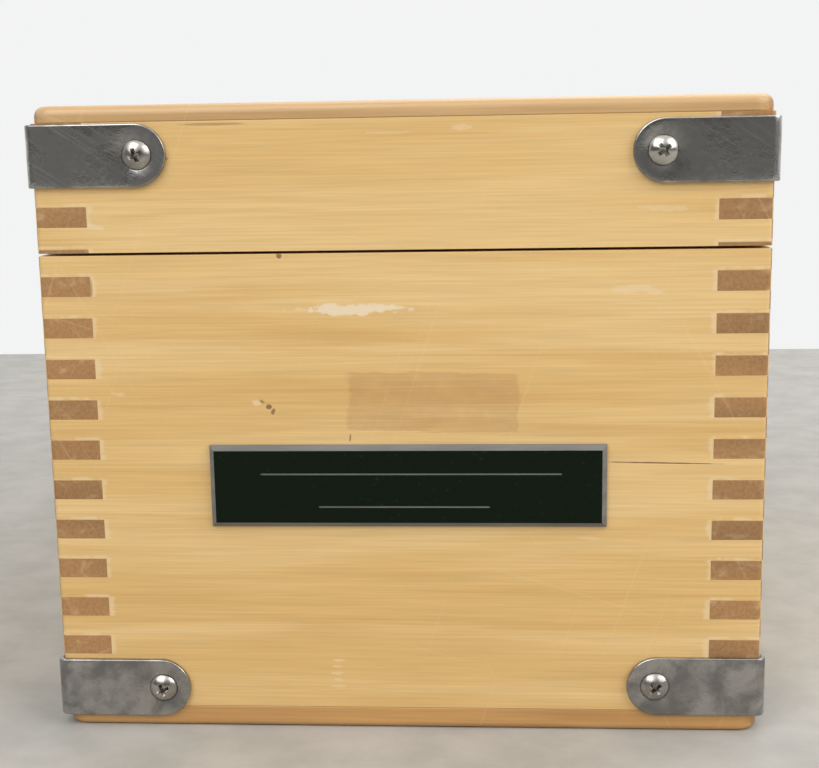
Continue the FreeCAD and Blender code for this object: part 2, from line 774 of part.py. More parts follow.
def latch_hook():
    # Hangs from its pivot at the local origin.  The throat is cut along the stud's own path round
    # the pivot, so the hook swings onto it.
    body = new_body("latch_hook")
    span = "dim.hook_span"
    blanks = [("arm", None), ("eye", ("0", "dim.hook_eye")), ("head", (f"-{span}", "dim.hook_head"))]
    for label, disc in blanks:
        face = new_sketch(body, f"hook_{label}_face", "XY_Plane", hook_low)
        if disc is None:
            rectangle(face, "-dim.hook_arm", f"-{span}", "dim.hook_arm", "0")
        else:
            circle(face, "0", disc[0], disc[1])
        pad(body, f"hook_{label}", face, "dim.hook_thickness")
    arm = value("dim.hook_arm")

    def waist(edge):
        upright = abs(edge.BoundBox.ZLength - value("dim.hook_thickness")) < tolerance
        return upright and all_at(edge, "x", arm if edge.BoundBox.XMin > 0 else -arm)

    fillet(body, "hook_waist", "dim.hook_blend", waist)
    tail = new_sketch(body, "hook_tail_face", "XY_Plane", hook_low)
    half, tail_end = "dim.hook_tail_half", f"({span} + dim.hook_tail)"
    outline(tail, (half, f"-{span} - dim.hook_head / 2"), [
        (f"-{half}", f"-{span} - dim.hook_head / 2"),
        (f"-{half}", f"-{tail_end}"),
        (half, f"-{tail_end}", "0", f"-{tail_end}", "left"),
        (half, f"-{span} - dim.hook_head / 2"),
    ])
    pad(body, "hook_tail", tail, "dim.hook_thickness")
    throat = new_sketch(body, "hook_throat_face", "XY_Plane", hook_low)
    slack = "(dim.stud_neck + dim.throat_clearance)"
    near, far = f"({span} - {slack})", f"({span} + {slack})"
    turn = "(dim.throat_angle * 1 deg)"
    outline(throat, ("0", f"-{near}"), [
        ("0", f"-{far}", "0", f"-{span}", "right"),
        (f"-{far} * sin({turn})", f"-{far} * cos({turn})", "0", "0", "right"),
        (f"-{near} * sin({turn})", f"-{near} * cos({turn})"),
        ("0", f"-{near}", "0", "0", "left"),
    ])
    pocket(body, "hook_throat", throat)
    eye = new_sketch(body, "hook_pivot_hole", "XY_Plane")
    circle(eye, "0", "0", "dim.pivot_shoulder + dim.running_clearance")
    pocket(body, "hook_pivot_drill", eye)
    put_on_side(body, "left", "0", hook_pivot_height)
    parts["latch_hook"] = body


def slotted(body, name, top):
    slot = new_sketch(body, f"{name}_slot", "XY_Plane", top)
    rectangle(slot, f"-dim.pivot_head - {overcut}", "-dim.driver_slot",
              f"dim.pivot_head + {overcut}", "dim.driver_slot")
    pocket(body, f"{name}_slot_cut", slot, "dim.driver_slot_depth")


def domed_screw(name, head, stem_low, stem, collar, height, spin):
    # a turned screw whose domed head traps the hook; z = 0 is the face of the wood
    body = new_body(name)
    section = new_sketch(body, f"{name}_section", "XZ_Plane")
    top = f"({head_low} + dim.latch_dome)"
    centre = f"({head_low} + (dim.latch_dome ^ 2 - {head} ^ 2) / (2 * dim.latch_dome))"
    steps = [
        (head, head_low, "0", centre, "right"),
        (stem, head_low),
        (stem, stem_low),
    ]
    if collar:
        steps += [(collar, stem_low), (collar, "0")]
        steps += [("dim.latch_shank", "0")]
    else:
        steps += [("dim.latch_shank", stem_low)]
    steps += [
        ("dim.latch_shank", "-(dim.latch_screw_depth - dim.screw_tip)"),
        ("0", "-dim.latch_screw_depth"),
        ("0", top),
    ]
    outline(section, ("0", top), steps)
    turned(body, f"{name}_turned", section)
    slotted(body, name, top)
    put_on_side(body, "left", "0", height, spin)
    parts[name] = body


def latch_washer():
    body = new_body("latch_washer")
    ring = new_sketch(body, "washer_ring", "XY_Plane")
    circle(ring, "0", "0", "dim.washer_radius")
    circle(ring, "0", "0", "dim.latch_shank + dim.joint_clearance")
    pad(body, "washer_blank", ring, "dim.collar_height")
    put_on_side(body, "left", "0", hook_pivot_height)
    parts["latch_washer"] = body


latch_hook()
latch_washer()
domed_screw("latch_pivot_screw", "dim.pivot_head", "dim.collar_height", "dim.pivot_shoulder", None,
            hook_pivot_height, 30.0)
domed_screw("latch_keeper_stud", "dim.stud_head", "dim.collar_height", "dim.stud_neck",
            "dim.stud_head", stud_height, -50.0)

doc.recompute()
for item in doc.Objects:
    if "Invalid" in item.State or "Error" in item.State:
        raise RuntimeError(f"{item.Label} failed: {item.State}")
for name, item in parts.items():
    check(item)

os.makedirs("parts", exist_ok=True)
for name, item in parts.items():
    item.Shape.exportStep(f"parts/{name}.step")
    box = item.Shape.BoundBox
    print(f"{name}: {len(item.Shape.Solids)} solid(s), {item.Shape.Volume / 1000:.2f} cm3, "
          f"x {box.XMin:.2f} to {box.XMax:.2f}, y {box.YMin:.2f} to {box.YMax:.2f}, "
          f"z {box.ZMin:.2f} to {box.ZMax:.2f}")
print(f"{len(parts)} nodes written")
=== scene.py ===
import bmesh
import bpy
import json
from math import cos, hypot, pi, radians, sin
from mathutils import Matrix, Vector

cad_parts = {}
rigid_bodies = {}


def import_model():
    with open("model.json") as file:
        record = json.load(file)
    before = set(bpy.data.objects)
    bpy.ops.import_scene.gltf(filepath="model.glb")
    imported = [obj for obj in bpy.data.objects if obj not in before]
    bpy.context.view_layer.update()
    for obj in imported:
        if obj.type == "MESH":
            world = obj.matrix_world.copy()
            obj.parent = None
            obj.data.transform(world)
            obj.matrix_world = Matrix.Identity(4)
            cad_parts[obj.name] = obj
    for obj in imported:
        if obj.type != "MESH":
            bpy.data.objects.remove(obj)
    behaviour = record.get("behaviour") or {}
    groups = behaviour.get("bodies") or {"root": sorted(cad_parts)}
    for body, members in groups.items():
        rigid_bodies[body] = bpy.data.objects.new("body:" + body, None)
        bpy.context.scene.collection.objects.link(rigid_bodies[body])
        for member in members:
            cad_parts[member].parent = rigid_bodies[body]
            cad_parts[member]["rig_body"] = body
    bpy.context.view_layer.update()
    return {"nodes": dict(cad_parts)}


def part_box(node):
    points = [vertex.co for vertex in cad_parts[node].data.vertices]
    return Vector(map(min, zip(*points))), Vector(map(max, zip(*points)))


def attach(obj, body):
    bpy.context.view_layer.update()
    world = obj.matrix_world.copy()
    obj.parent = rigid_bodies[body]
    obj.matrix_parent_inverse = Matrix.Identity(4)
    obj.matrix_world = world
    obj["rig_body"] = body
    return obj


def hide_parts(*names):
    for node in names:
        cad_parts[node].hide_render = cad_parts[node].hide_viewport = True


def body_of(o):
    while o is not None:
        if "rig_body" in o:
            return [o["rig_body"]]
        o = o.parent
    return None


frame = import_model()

mm = 0.001
scene = bpy.context.scene


# camera: looking at the labelled end from slightly above and to the right
cameraSetup = {
    "place": (18.4 * mm, -342.7 * mm, 115.5 * mm),
    "turn": -3.8,      # degrees to the left
    "down": 10.2,
    "roll": -0.97,
    "lens": 59.3,
}


def setCamera(setup):
    turn, down, roll = (radians(setup[key]) for key in ("turn", "down", "roll"))
    ahead = Vector((sin(turn) * cos(down), cos(turn) * cos(down), -sin(down)))
    level = Vector((cos(turn), -sin(turn), 0))
    upright = level.cross(ahead)
    right = level * cos(roll) + upright * sin(roll)
    up = upright * cos(roll) - level * sin(roll)
    camera = bpy.data.objects.new("camera", bpy.data.cameras.new("camera"))
    camera.data.lens = setup["lens"]
    camera.data.sensor_width = 36
    camera.data.clip_start = 0.01
    axes = Matrix((right, up, -ahead)).transposed()
    camera.matrix_world = Matrix.Translation(setup["place"]) @ axes.to_4x4()
    scene.collection.objects.link(camera)
    scene.camera = camera


setCamera(cameraSetup)
print("camera set")


# node helpers for the finishes

def newFinish(name):
    finish = bpy.data.materials.new(name)
    finish.use_nodes = True
    tree = finish.node_tree
    return finish, tree, tree.nodes["Principled BSDF"]


def wire(tree, value, socket):
    # a number or colour is set, a socket is linked
    if isinstance(value, bpy.types.NodeSocket):
        tree.links.new(value, socket)
    elif isinstance(value, (int, float)) or len(value) != 3 or socket.type == "VECTOR":
        socket.default_value = value
    else:
        socket.default_value = (*value, 1)


def calc(tree, operation, first, second=0.0):
    step = tree.nodes.new("ShaderNodeMath")
    step.operation = operation
    wire(tree, first, step.inputs[0])
    wire(tree, second, step.inputs[1])
    return step.outputs[0]


def product(tree, first, second):
    return calc(tree, "MULTIPLY", first, second)


def calcVector(tree, operation, first, second=(0, 0, 0)):
    step = tree.nodes.new("ShaderNodeVectorMath")
    step.operation = operation
    wire(tree, first, step.inputs[0])
    wire(tree, second, step.inputs[1])
    return step.outputs["Value"] if operation in ("LENGTH", "DOT_PRODUCT") else step.outputs[0]


def split(tree, vector):
    apart = tree.nodes.new("ShaderNodeSeparateXYZ")
    wire(tree, vector, apart.inputs[0])
    return apart.outputs


def between(tree, value, low, high, atLow=0.0, atHigh=1.0):
    # a soft step from atLow to atHigh, downwards where low is above high
    ramp = tree.nodes.new("ShaderNodeMapRange")
    ramp.interpolation_type = "SMOOTHSTEP"
    wire(tree, value, ramp.inputs["Value"])
    for socket, number in zip(ramp.inputs[1:5], (low, high, atLow, atHigh)):
        socket.default_value = number
    return ramp.outputs[0]


def blendColour(tree, share, under, over, kind="MIX"):
    mix = tree.nodes.new("ShaderNodeMix")
    mix.data_type = "RGBA"
    mix.blend_type = kind
    wire(tree, share, mix.inputs[0])
    wire(tree, under, mix.inputs[6])
    wire(tree, over, mix.inputs[7])
    return mix.outputs[2]


def cloud(tree, where, stretch, detail=3.0, rough=0.5, wander=0.0):
    # stretch is how many lumps go in a metre, along x, y and z
    noise = tree.nodes.new("ShaderNodeTexNoise")
    wire(tree, calcVector(tree, "MULTIPLY", where, stretch), noise.inputs["Vector"])
    noise.inputs["Scale"].default_value = 1.0
    noise.inputs["Detail"].default_value = detail
    noise.inputs["Roughness"].default_value = rough
    noise.inputs["Distortion"].default_value = wander
    return noise.outputs[0]


def atPlace(tree, where, centre, size, turn=0.0):
    # moves the origin to centre, turns about y and divides by size
    mapping = tree.nodes.new("ShaderNodeMapping")
    mapping.vector_type = "TEXTURE"
    wire(tree, where, mapping.inputs["Vector"])
    mapping.inputs["Location"].default_value = centre
    mapping.inputs["Rotation"].default_value = (0, radians(turn), 0)
    mapping.inputs["Scale"].default_value = size
    return mapping.outputs[0]


def bumpy(tree, shader, height, depth, strength=1.0):
    bump = tree.nodes.new("ShaderNodeBump")
    bump.inputs["Strength"].default_value = strength
    bump.inputs["Distance"].default_value = depth
    wire(tree, height, bump.inputs["Height"])
    wire(tree, bump.outputs[0], shader.inputs["Normal"])


# lacquered wood

boardLook = {
    "pale": (0.800, 0.548, 0.240),
    "honey": (0.735, 0.470, 0.176),
    "streak": (0.650, 0.385, 0.125),
    "endGrain": (0.385, 0.203, 0.074),
    "endPale": (0.480, 0.300, 0.145),
    "glue": (0.830, 0.640, 0.380),
    "seam": (0.240, 0.110, 0.040),
    "roughness": 0.42,
    "coat": 0.25,
    "coatRoughness": 0.28,
    "streakStrength": 0.62,
    "poreStrength": 0.30,
    "grainDepth": 0.06 * mm,
}
panelLook = dict(boardLook, pale=(0.610, 0.385, 0.175), honey=(0.540, 0.325, 0.135),
                 streak=(0.440, 0.240, 0.088), endGrain=(0.400, 0.200, 0.075))
bottomLook = dict(panelLook, pale=(0.640, 0.360, 0.125), honey=(0.560, 0.300, 0.100),
                  streak=(0.430, 0.205, 0.065))
innerLook = dict(boardLook, pale=(0.760, 0.560, 0.320), honey=(0.700, 0.500, 0.270),
                 streak=(0.590, 0.390, 0.190), coat=0.0, roughness=0.6)

# where the fingers of the joints sit over the table, and how far in from the ends
joints = {
    "inner": 59.2 * mm,
    "pitch": 8.0 * mm,
    "finger": 3.8 * mm,
    "baseStart": 7.2 * mm,
    "lidStart": 4.4 * mm,
}

# marks on the labelled end: x, z, half width, half height in mm, turn, strength
baseMarks = {
    "filler": [(-8.0, 84.5, 9.4, 0.75, 0, 1.0), (-11.0, 84.2, 5.5, 1.05, 2, 1.0)],
    "pale": [(43.6, 87.6, 3.6, 0.8, -3, 0.75), (47.6, 87.2, 1.8, 0.5, 8, 0.7),
             (-28.0, 66.4, 0.8, 0.5, 20, 0.9), (-13.6, 14.2, 1.3, 0.35, 0, 0.7),
             (-13.5, 12.9, 1.2, 0.3, 4, 0.6), (-13.7, 11.5, 1.3, 0.3, -3, 0.7),
             (-13.4, 10.1, 1.1, 0.35, 5, 0.6), (-13.8, 8.8, 1.3, 0.3, 0, 0.6),
             (36.0, 39.5, 2.2, 0.35, 3, 0.5), (-55.0, 68.2, 1.4, 0.4, 10, 0.5)],
    "dark": [(-25.6, 65.6, 0.55, 0.5, 0, 0.9), (-24.8, 64.6, 0.35, 0.6, 20, 0.8),
             (-26.9, 66.6, 0.5, 0.28, 30, 0.6), (-10.0, 59.5, 0.16, 0.7, 6, 0.8),
             (-22.7, 94.6, 0.5, 0.55, 0, 0.9), (49.2, 54.4, 10.6, 0.13, 1.2, 0.95),
             (60.2, 41.6, 0.3, 1.0, 0, 0.6), (-59.0, 88.8, 0.2, 1.6, 0, 0.5)],
}
lidMarks = {
    "filler": [],
    "pale": [(-58.0, 100.5, 2.0, 0.55, 8, 0.8), (12.0, 117.9, 1.7, 0.5, 0, 0.6),
             (49.0, 102.6, 5.0, 0.5, 2, 0.5), (-1.0, 117.2, 3.5, 0.3, 0, 0.35)],
    "dark": [(-43.4, 113.0, 0.4, 0.35, 0, 0.5), (-34.0, 119.2, 6.0, 0.25, 0, 0.45)],
}


# lumps in a metre: along the grain and twice across it, or in x, y and z on cut ends
grainScales = {
    "figure": (9, 95, 95),
    "streaks": (16, 330, 330),
    "fibres": (38, 2300, 2300),
    "pores": (130, 3600, 3600),
    "endDots": (1500, 1500, 1500),
    "endSmears": (210, 210, 330),
    "endShade": (20, 20, 95),
}
scratchLook = {
    "lines": ((62, 900, 0.3), (-71, 1200, 0.7), (17, 1000, 1.9)),      # turn, lines in a metre, shift
    "along": 18,
    "thin": (0.735, 0.80),
    "patches": (22, 22, 22),
    "strength": 0.13,
}
glueLook = {
    "soft": 0.4 * mm,             # how softly a smear ends above and below a finger
    "beside": (1.3 * mm, 0.3 * mm),
    "wander": 3.2 * mm,
    "above": 0.35 * mm,           # the second smear's middle over the finger
    "aboveHalf": (0.55 * mm, 0.1 * mm),
    "ragged": (260, 260, 420),
    "strength": (0.55, 0.60),
}
markLook = {
    "filler": (0.845, 0.700, 0.490),
    "fillerStrength": 0.9,
    "paleStrength": 0.8,
    "ragged": (520, 520, 900),
    "raggedBy": 2.4,
    "darkRagged": 0.35,           # dark marks are less ragged than the others
    "darkSink": 2.0,
}
oldLabel = {
    "centre": (6.0 * mm, 0, 66.4 * mm),
    "half": (16.4 * mm, 1, 5.7 * mm),
    "turn": 1.0,
    "tear": 0.28,
    "blotches": (230, 230, 300),
    "tint": (0.855, 0.815, 0.820),
}


def grainColour(tree, grain, look):
    # slow figure, growth streaks, fibres and short pores
    figure = cloud(tree, grain, grainScales["figure"], 2.0, 0.5, 0.6)
    streaks = cloud(tree, grain, grainScales["streaks"], 3.0, 0.55, 0.35)
    fibres = cloud(tree, grain, grainScales["fibres"], 2.0, 0.6)
    pores = cloud(tree, grain, grainScales["pores"], 1.0)
    colour = blendColour(tree, between(tree, figure, 0.34, 0.66), look["pale"], look["honey"])
    band = product(tree, between(tree, streaks, 0.48, 0.76), look["streakStrength"])
    colour = blendColour(tree, band, colour, look["streak"])
    colour = blendColour(tree, 1.0, colour, between(tree, fibres, 0.30, 0.72, 0.93, 1.06), "MULTIPLY")
    poreMask = product(tree, between(tree, pores, 0.66, 0.76), look["poreStrength"])
    return blendColour(tree, poreMask, colour, look["streak"]), streaks, fibres


def endColour(tree, where, look):
    dots = cloud(tree, where, grainScales["endDots"], 2.0, 0.6)
    smears = cloud(tree, where, grainScales["endSmears"], 3.0, 0.6, 0.8)
    shade = cloud(tree, where, grainScales["endShade"], 0.0)
    colour = blendColour(tree, between(tree, dots, 0.35, 0.7, 0.0, 0.5), look["endGrain"], look["seam"])
    colour = blendColour(tree, between(tree, smears, 0.52, 0.72, 0.0, 0.8), colour, look["endPale"])
    return blendColour(tree, 1.0, colour, between(tree, shade, 0.3, 0.7, 0.86, 1.16), "MULTIPLY")


def scratchMask(tree, where):
    # long thin lines in three directions, only in the worn patches
    lines = 0.0
    for turn, fineness, shift in scratchLook["lines"]:
        slanted = atPlace(tree, where, (shift, shift, shift), (1, 1, 1), turn)
        line = cloud(tree, slanted, (scratchLook["along"], scratchLook["along"], fineness), 0.0)
        lines = calc(tree, "MAXIMUM", lines, between(tree, line, *scratchLook["thin"]))
    worn = between(tree, cloud(tree, where, scratchLook["patches"], 2.0), 0.42, 0.62)
    return product(tree, lines, product(tree, worn, scratchLook["strength"]))


def glueMask(tree, where, jointStart):
    # glue squeezed out beside each finger, and over its upper edge
    finger, inner, soft = joints["finger"], joints["inner"], glueLook["soft"]
    acrossX, _, upZ = split(tree, where)
    outX = calc(tree, "ABSOLUTE", acrossX)
    height = calc(tree, "SUBTRACT", upZ, jointStart - 10 * joints["pitch"])      # kept above zero
    inPitch = calc(tree, "MODULO", height, joints["pitch"])
    fade = cloud(tree, where, glueLook["ragged"], 3.0, 0.65)
    wander = product(tree, calc(tree, "SUBTRACT", fade, 0.5), glueLook["wander"])
    far, near = glueLook["beside"]
    beside = between(tree, calc(tree, "ADD", outX, wander), inner - far, inner - near)
    beside = product(tree, beside, between(tree, outX, inner + near, inner))
    row = product(tree, between(tree, inPitch, -soft, 0.0), between(tree, inPitch, finger + soft, finger))
    offRow = calc(tree, "ABSOLUTE", calc(tree, "SUBTRACT", inPitch, finger + glueLook["above"]))
    above = product(tree, between(tree, offRow, *glueLook["aboveHalf"]), between(tree, fade, 0.42, 0.62))
    above = product(tree, above, between(tree, outX, inner - 1.0 * mm, inner + 0.5 * mm))
    besideStrength, aboveStrength = glueLook["strength"]
    return calc(tree, "MAXIMUM", product(tree, product(tree, beside, row), besideStrength),
                product(tree, above, aboveStrength))


def handMarks(tree, where, ragged, marks):
    # the strongest of a list of ragged oval marks
    total = 0.0
    for x, z, halfX, halfZ, turn, strength in marks:
        near = atPlace(tree, where, (x * mm, 0, z * mm), (halfX * mm, 1, halfZ * mm), turn)
        away = calc(tree, "ADD", calcVector(tree, "LENGTH", near), ragged)
        total = calc(tree, "MAXIMUM", total, between(tree, away, 1.25, 0.75, 0.0, strength))
    return total


def addMarks(tree, where, front, colour, look, marks):
    # filler, pale knocks and dark specks, on the front face alone
    edge = cloud(tree, where, markLook["ragged"], 3.0, 0.65)
    ragged = product(tree, calc(tree, "SUBTRACT", edge, 0.5), markLook["raggedBy"])
    filler = product(tree, handMarks(tree, where, ragged, marks["filler"]), front)
    filler = product(tree, filler, markLook["fillerStrength"])
    colour = blendColour(tree, filler, colour, markLook["filler"])
    pale = product(tree, handMarks(tree, where, ragged, marks["pale"]), front)
    colour = blendColour(tree, product(tree, pale, markLook["paleStrength"]), colour, look["glue"])
    softer = product(tree, ragged, markLook["darkRagged"])
    dark = product(tree, handMarks(tree, where, softer, marks["dark"]), front)
    return blendColour(tree, dark, colour, look["seam"]), dark


def addOldLabel(tree, where, front, colour):
    # grey film that an old label left behind
    near = atPlace(tree, where, oldLabel["centre"], oldLabel["half"], oldLabel["turn"])
    offX, _, offZ = split(tree, calcVector(tree, "ABSOLUTE", near))
    blotch = cloud(tree, where, oldLabel["blotches"], 4.0, 0.6)
    tear = product(tree, calc(tree, "SUBTRACT", blotch, 0.5), oldLabel["tear"])
    away = calc(tree, "ADD", calc(tree, "MAXIMUM", offX, offZ), tear)
    film = product(tree, between(tree, away, 1.03, 0.97), between(tree, blotch, 0.25, 0.6, 0.55, 1.0))
    tinted = blendColour(tree, 1.0, colour, oldLabel["tint"], "MULTIPLY")
    return blendColour(tree, product(tree, film, front), colour, tinted)


def woodFinish(name, along, start, look, marks=None, jointStart=None):
    # along is the way the grain runs, and start moves the pattern so that no two boards match
    finish, tree, shader = newFinish(name)
    place = tree.nodes.new("ShaderNodeTexCoord")
    where = place.outputs["Object"]
    facing = place.outputs["Normal"]
    turned = tree.nodes.new("ShaderNodeMapping")
    wire(tree, where, turned.inputs["Vector"])
    turned.inputs["Location"].default_value = start
    turned.inputs["Rotation"].default_value[2] = radians(-90) if along == "y" else 0
    colour, streaks, fibres = grainColour(tree, turned.outputs[0], look)
    relief = calc(tree, "ADD", product(tree, fibres, 0.5), product(tree, streaks, 0.5))

    # end grain where the board is cut across
    axis = (0, 1, 0) if along == "y" else (1, 0, 0)
    across = calc(tree, "ABSOLUTE", calcVector(tree, "DOT_PRODUCT", facing, axis))
    cut = between(tree, across, 0.55, 0.8)
    colour = blendColour(tree, cut, colour, endColour(tree, where, look))
    colour = blendColour(tree, scratchMask(tree, where), colour, look["glue"])

    if jointStart is not None:
        colour = blendColour(tree, glueMask(tree, where, jointStart), colour, look["glue"])
    if marks is not None:
        front = between(tree, calcVector(tree, "DOT_PRODUCT", facing, (0, -1, 0)), 0.5, 0.8)
        colour, dark = addMarks(tree, where, front, colour, look, marks)
        relief = calc(tree, "SUBTRACT", relief, product(tree, dark, markLook["darkSink"]))
        if marks is baseMarks:
            colour = addOldLabel(tree, where, front, colour)

    wire(tree, colour, shader.inputs["Base Color"])
    rough = between(tree, streaks, 0.3, 0.7, look["roughness"] - 0.05, look["roughness"] + 0.08)
    wire(tree, calc(tree, "ADD", rough, product(tree, cut, 0.12)), shader.inputs["Roughness"])
    shader.inputs["Coat Weight"].default_value = look["coat"]
    shader.inputs["Coat Roughness"].default_value = look["coatRoughness"]
    bumpy(tree, shader, relief, look["grainDepth"], 0.55)
    return finish


finishes = {
    "base_front_board": woodFinish("lacquered end board", "x", (0.11, 0.4, 0.2), boardLook,
                                   baseMarks, joints["baseStart"]),
    "lid_front_board": woodFinish("lacquered lid end board", "x", (0.57, 0.4, 0.9), boardLook,
                                  lidMarks, joints["lidStart"]),
    "rear": woodFinish("lacquered rear boards", "x", (1.3, 0.8, 0.2), boardLook),
    "side": woodFinish("lacquered side boards", "y", (2.1, 0.3, 0.6), boardLook),
    "top_panel": woodFinish("lacquered top panel", "x", (3.4, 1.7, 0.1), panelLook),
    "bottom_panel": woodFinish("lacquered bottom panel", "x", (4.2, 0.6, 0.4), bottomLook),
    "centre_divider": woodFinish("bare divider", "x", (5.0, 0.9, 0.8), innerLook),
    "packer": woodFinish("bare packers", "y", (6.3, 0.5, 0.3), innerLook),
}
print("wood finishes made")


# plated metals

nickelLook = {
    "bright": (0.450, 0.438, 0.420),
    "dull": (0.235, 0.230, 0.225),
    "roughness": (0.20, 0.38),
    "dimple": 0.045 * mm,
}
screwLook = {
    "bright": (0.520, 0.495, 0.450),
    "dull": (0.270, 0.253, 0.230),
    "roughness": (0.20, 0.38),
    "dimple": 0.015 * mm,
}
hingeLook = {
    "bright": (0.600, 0.590, 0.570),
    "dull": (0.360, 0.355, 0.345),
    "roughness": (0.26, 0.42),
    "dimple": 0.015 * mm,
}


# lumps in a metre
platingScales = {
    "haze": (170, 170, 170),
    "peel": (1050, 1050, 1050),
    "fine": (4200, 4200, 4200),
    "hairs": (40, 40, 5200),
}


def metalFinish(name, look, start):
    # plated sheet with a faint orange peel, cloudy wear and hairline scratches
    finish, tree, shader = newFinish(name)
    place = tree.nodes.new("ShaderNodeTexCoord")
    where = calcVector(tree, "ADD", place.outputs["Object"], start)
    haze = cloud(tree, where, platingScales["haze"], 4.0, 0.6, 0.4)
    peel = cloud(tree, where, platingScales["peel"], 2.0)
    fine = cloud(tree, where, platingScales["fine"], 1.0)
    slanted = atPlace(tree, where, (0, 0, 0), (1, 1, 1), 33)
    hairs = between(tree, cloud(tree, slanted, platingScales["hairs"], 0.0), 0.70, 0.78)
    colour = blendColour(tree, between(tree, haze, 0.32, 0.68), look["bright"], look["dull"])
    colour = blendColour(tree, product(tree, hairs, 0.25), colour, look["bright"])
    wire(tree, colour, shader.inputs["Base Color"])
    shader.inputs["Metallic"].default_value = 1.0
    rough = calc(tree, "ADD", between(tree, haze, 0.3, 0.7, *look["roughness"]), product(tree, hairs, 0.06))
    wire(tree, rough, shader.inputs["Roughness"])
    bumpy(tree, shader, calc(tree, "ADD", peel, product(tree, fine, 0.25)), look["dimple"], 0.6)
    return finish


bracketFinish = metalFinish("nickel plated sheet", nickelLook, (0.2, 0.5, 0.9))
screwFinish = metalFinish("plated screws", screwLook, (0.7, 0.1, 0.4))
hingeFinish = metalFinish("plated hinge and hook", hingeLook, (0.4, 0.9, 0.1))
print("metal finishes made")


# label plate

plateLook = {
    "face": (0.0022, 0.0075, 0.0026),
    "edge": (0.215, 0.212, 0.200),
    "dust": (0.2, 0.22, 0.2),
    "skin": (0.04 * mm, 0.06 * mm),      # the core shows from this deep on
    "roughness": (0.24, 0.34),
    "coreRoughness": 0.2,
    "shine": 0.12,
}


def plateFinish(look, frontY):
    # dark skin over a grey core, so bevels and cuts show the core
    finish, tree, shader = newFinish("engraving laminate")
    place = tree.nodes.new("ShaderNodeTexCoord")
    where = place.outputs["Object"]
    depth = calc(tree, "SUBTRACT", split(tree, where)[1], frontY)
    core = between(tree, depth, *look["skin"])
    dust = cloud(tree, where, (900, 900, 900), 4.0, 0.6)
    specks = product(tree, between(tree, dust, 0.62, 0.72), 0.05)
    face = blendColour(tree, specks, look["face"], look["dust"])
    tooling = cloud(tree, where, (60, 400, 400), 3.0, 0.6)
    tooled = tuple(0.8 * part for part in look["edge"])
    edge = blendColour(tree, between(tree, tooling, 0.35, 0.65), look["edge"], tooled)
    wire(tree, blendColour(tree, core, face, edge), shader.inputs["Base Color"])
    smudge = between(tree, cloud(tree, where, (70, 70, 140), 3.0), 0.35, 0.65, *look["roughness"])
    rough = calc(tree, "ADD", smudge, product(tree, core, look["coreRoughness"]))
    wire(tree, rough, shader.inputs["Roughness"])
    shader.inputs["Specular IOR Level"].default_value = look["shine"]
    bumpy(tree, shader, dust, 0.01 * mm, 0.3)
    return finish


# helpers for the pieces

def toMesh(shape, name):
    mesh = bpy.data.meshes.new(name)
    shape.to_mesh(mesh)
    shape.free()
    return mesh


def onlyVerts(items):
    return [item for item in items if isinstance(item, bmesh.types.BMVert)]


def easeEdges(shape, edges, reach, segments):
    bmesh.ops.bevel(shape, geom=edges, offset=reach, segments=segments, profile=0.5,
                    affect="EDGES", material=-1)


def addPiece(name, mesh, finish, body, slot, *stoodFor):
    piece = bpy.data.objects.new(name, mesh)
    scene.collection.objects.link(piece)
    piece.data.materials.clear()
    piece.data.materials.append(finish)
    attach(piece, body)
    if stoodFor:
        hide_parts(*stoodFor)
    return piece


def keepEdges(piece, bevel, sharp=35.0):
    # smooth faces, and a small rounding of the corners that catches the light
    for face in piece.data.polygons:
        face.use_smooth = True
    if bevel:
        rounding = piece.modifiers.new("rounding", "BEVEL")
        rounding.width = bevel
        rounding.segments = 2
        rounding.limit_method = "ANGLE"
        rounding.angle_limit = radians(sharp)
    piece.modifiers.new("normals", "WEIGHTED_NORMAL").weight = 100


def fromCad(node, name, finish, slot, bevel=0.12 * mm):
    # a merged copy of a CAD part, with its edges eased
    source = frame["nodes"][node]
    body = body_of(source)[0]
    shape = bmesh.new()
    shape.from_mesh(source.data)
    bmesh.ops.remove_doubles(shape, verts=shape.verts, dist=0.002 * mm)
    bmesh.ops.dissolve_limit(shape, angle_limit=radians(0.5), verts=shape.verts, edges=shape.edges)
    keepEdges(addPiece(name, toMesh(shape, name), finish, body, slot, node), bevel)


for node in ("base_front_board", "lid_front_board"):
    fromCad(node, node + "_wood", finishes[node], "board_wood")
for half in ("base", "lid"):
    fromCad(f"{half}_rear_board", f"{half}_rear_board_wood", finishes["rear"], "board_wood")
    for side in ("left", "right"):
        fromCad(f"{half}_{side}_board", f"{half}_{side}_board_wood", finishes["side"], "board_wood")
fromCad("centre_divider", "divider_wood", finishes["centre_divider"], "inner_wood", 0.3 * mm)
for side in ("left", "right"):
    fromCad(f"{side}_packer", f"{side}_packer_wood", finishes["packer"], "inner_wood", 0.3 * mm)
print("boards, divider and packers dressed")


# panels: upright corners, the edge that shows its round, and the edge against the boards
panelShape = {
    "corner": 4.0 * mm,
    "topRound": 1.9 * mm,
    "bottomRound": 1.4 * mm,
    "ease": 0.25 * mm,
}


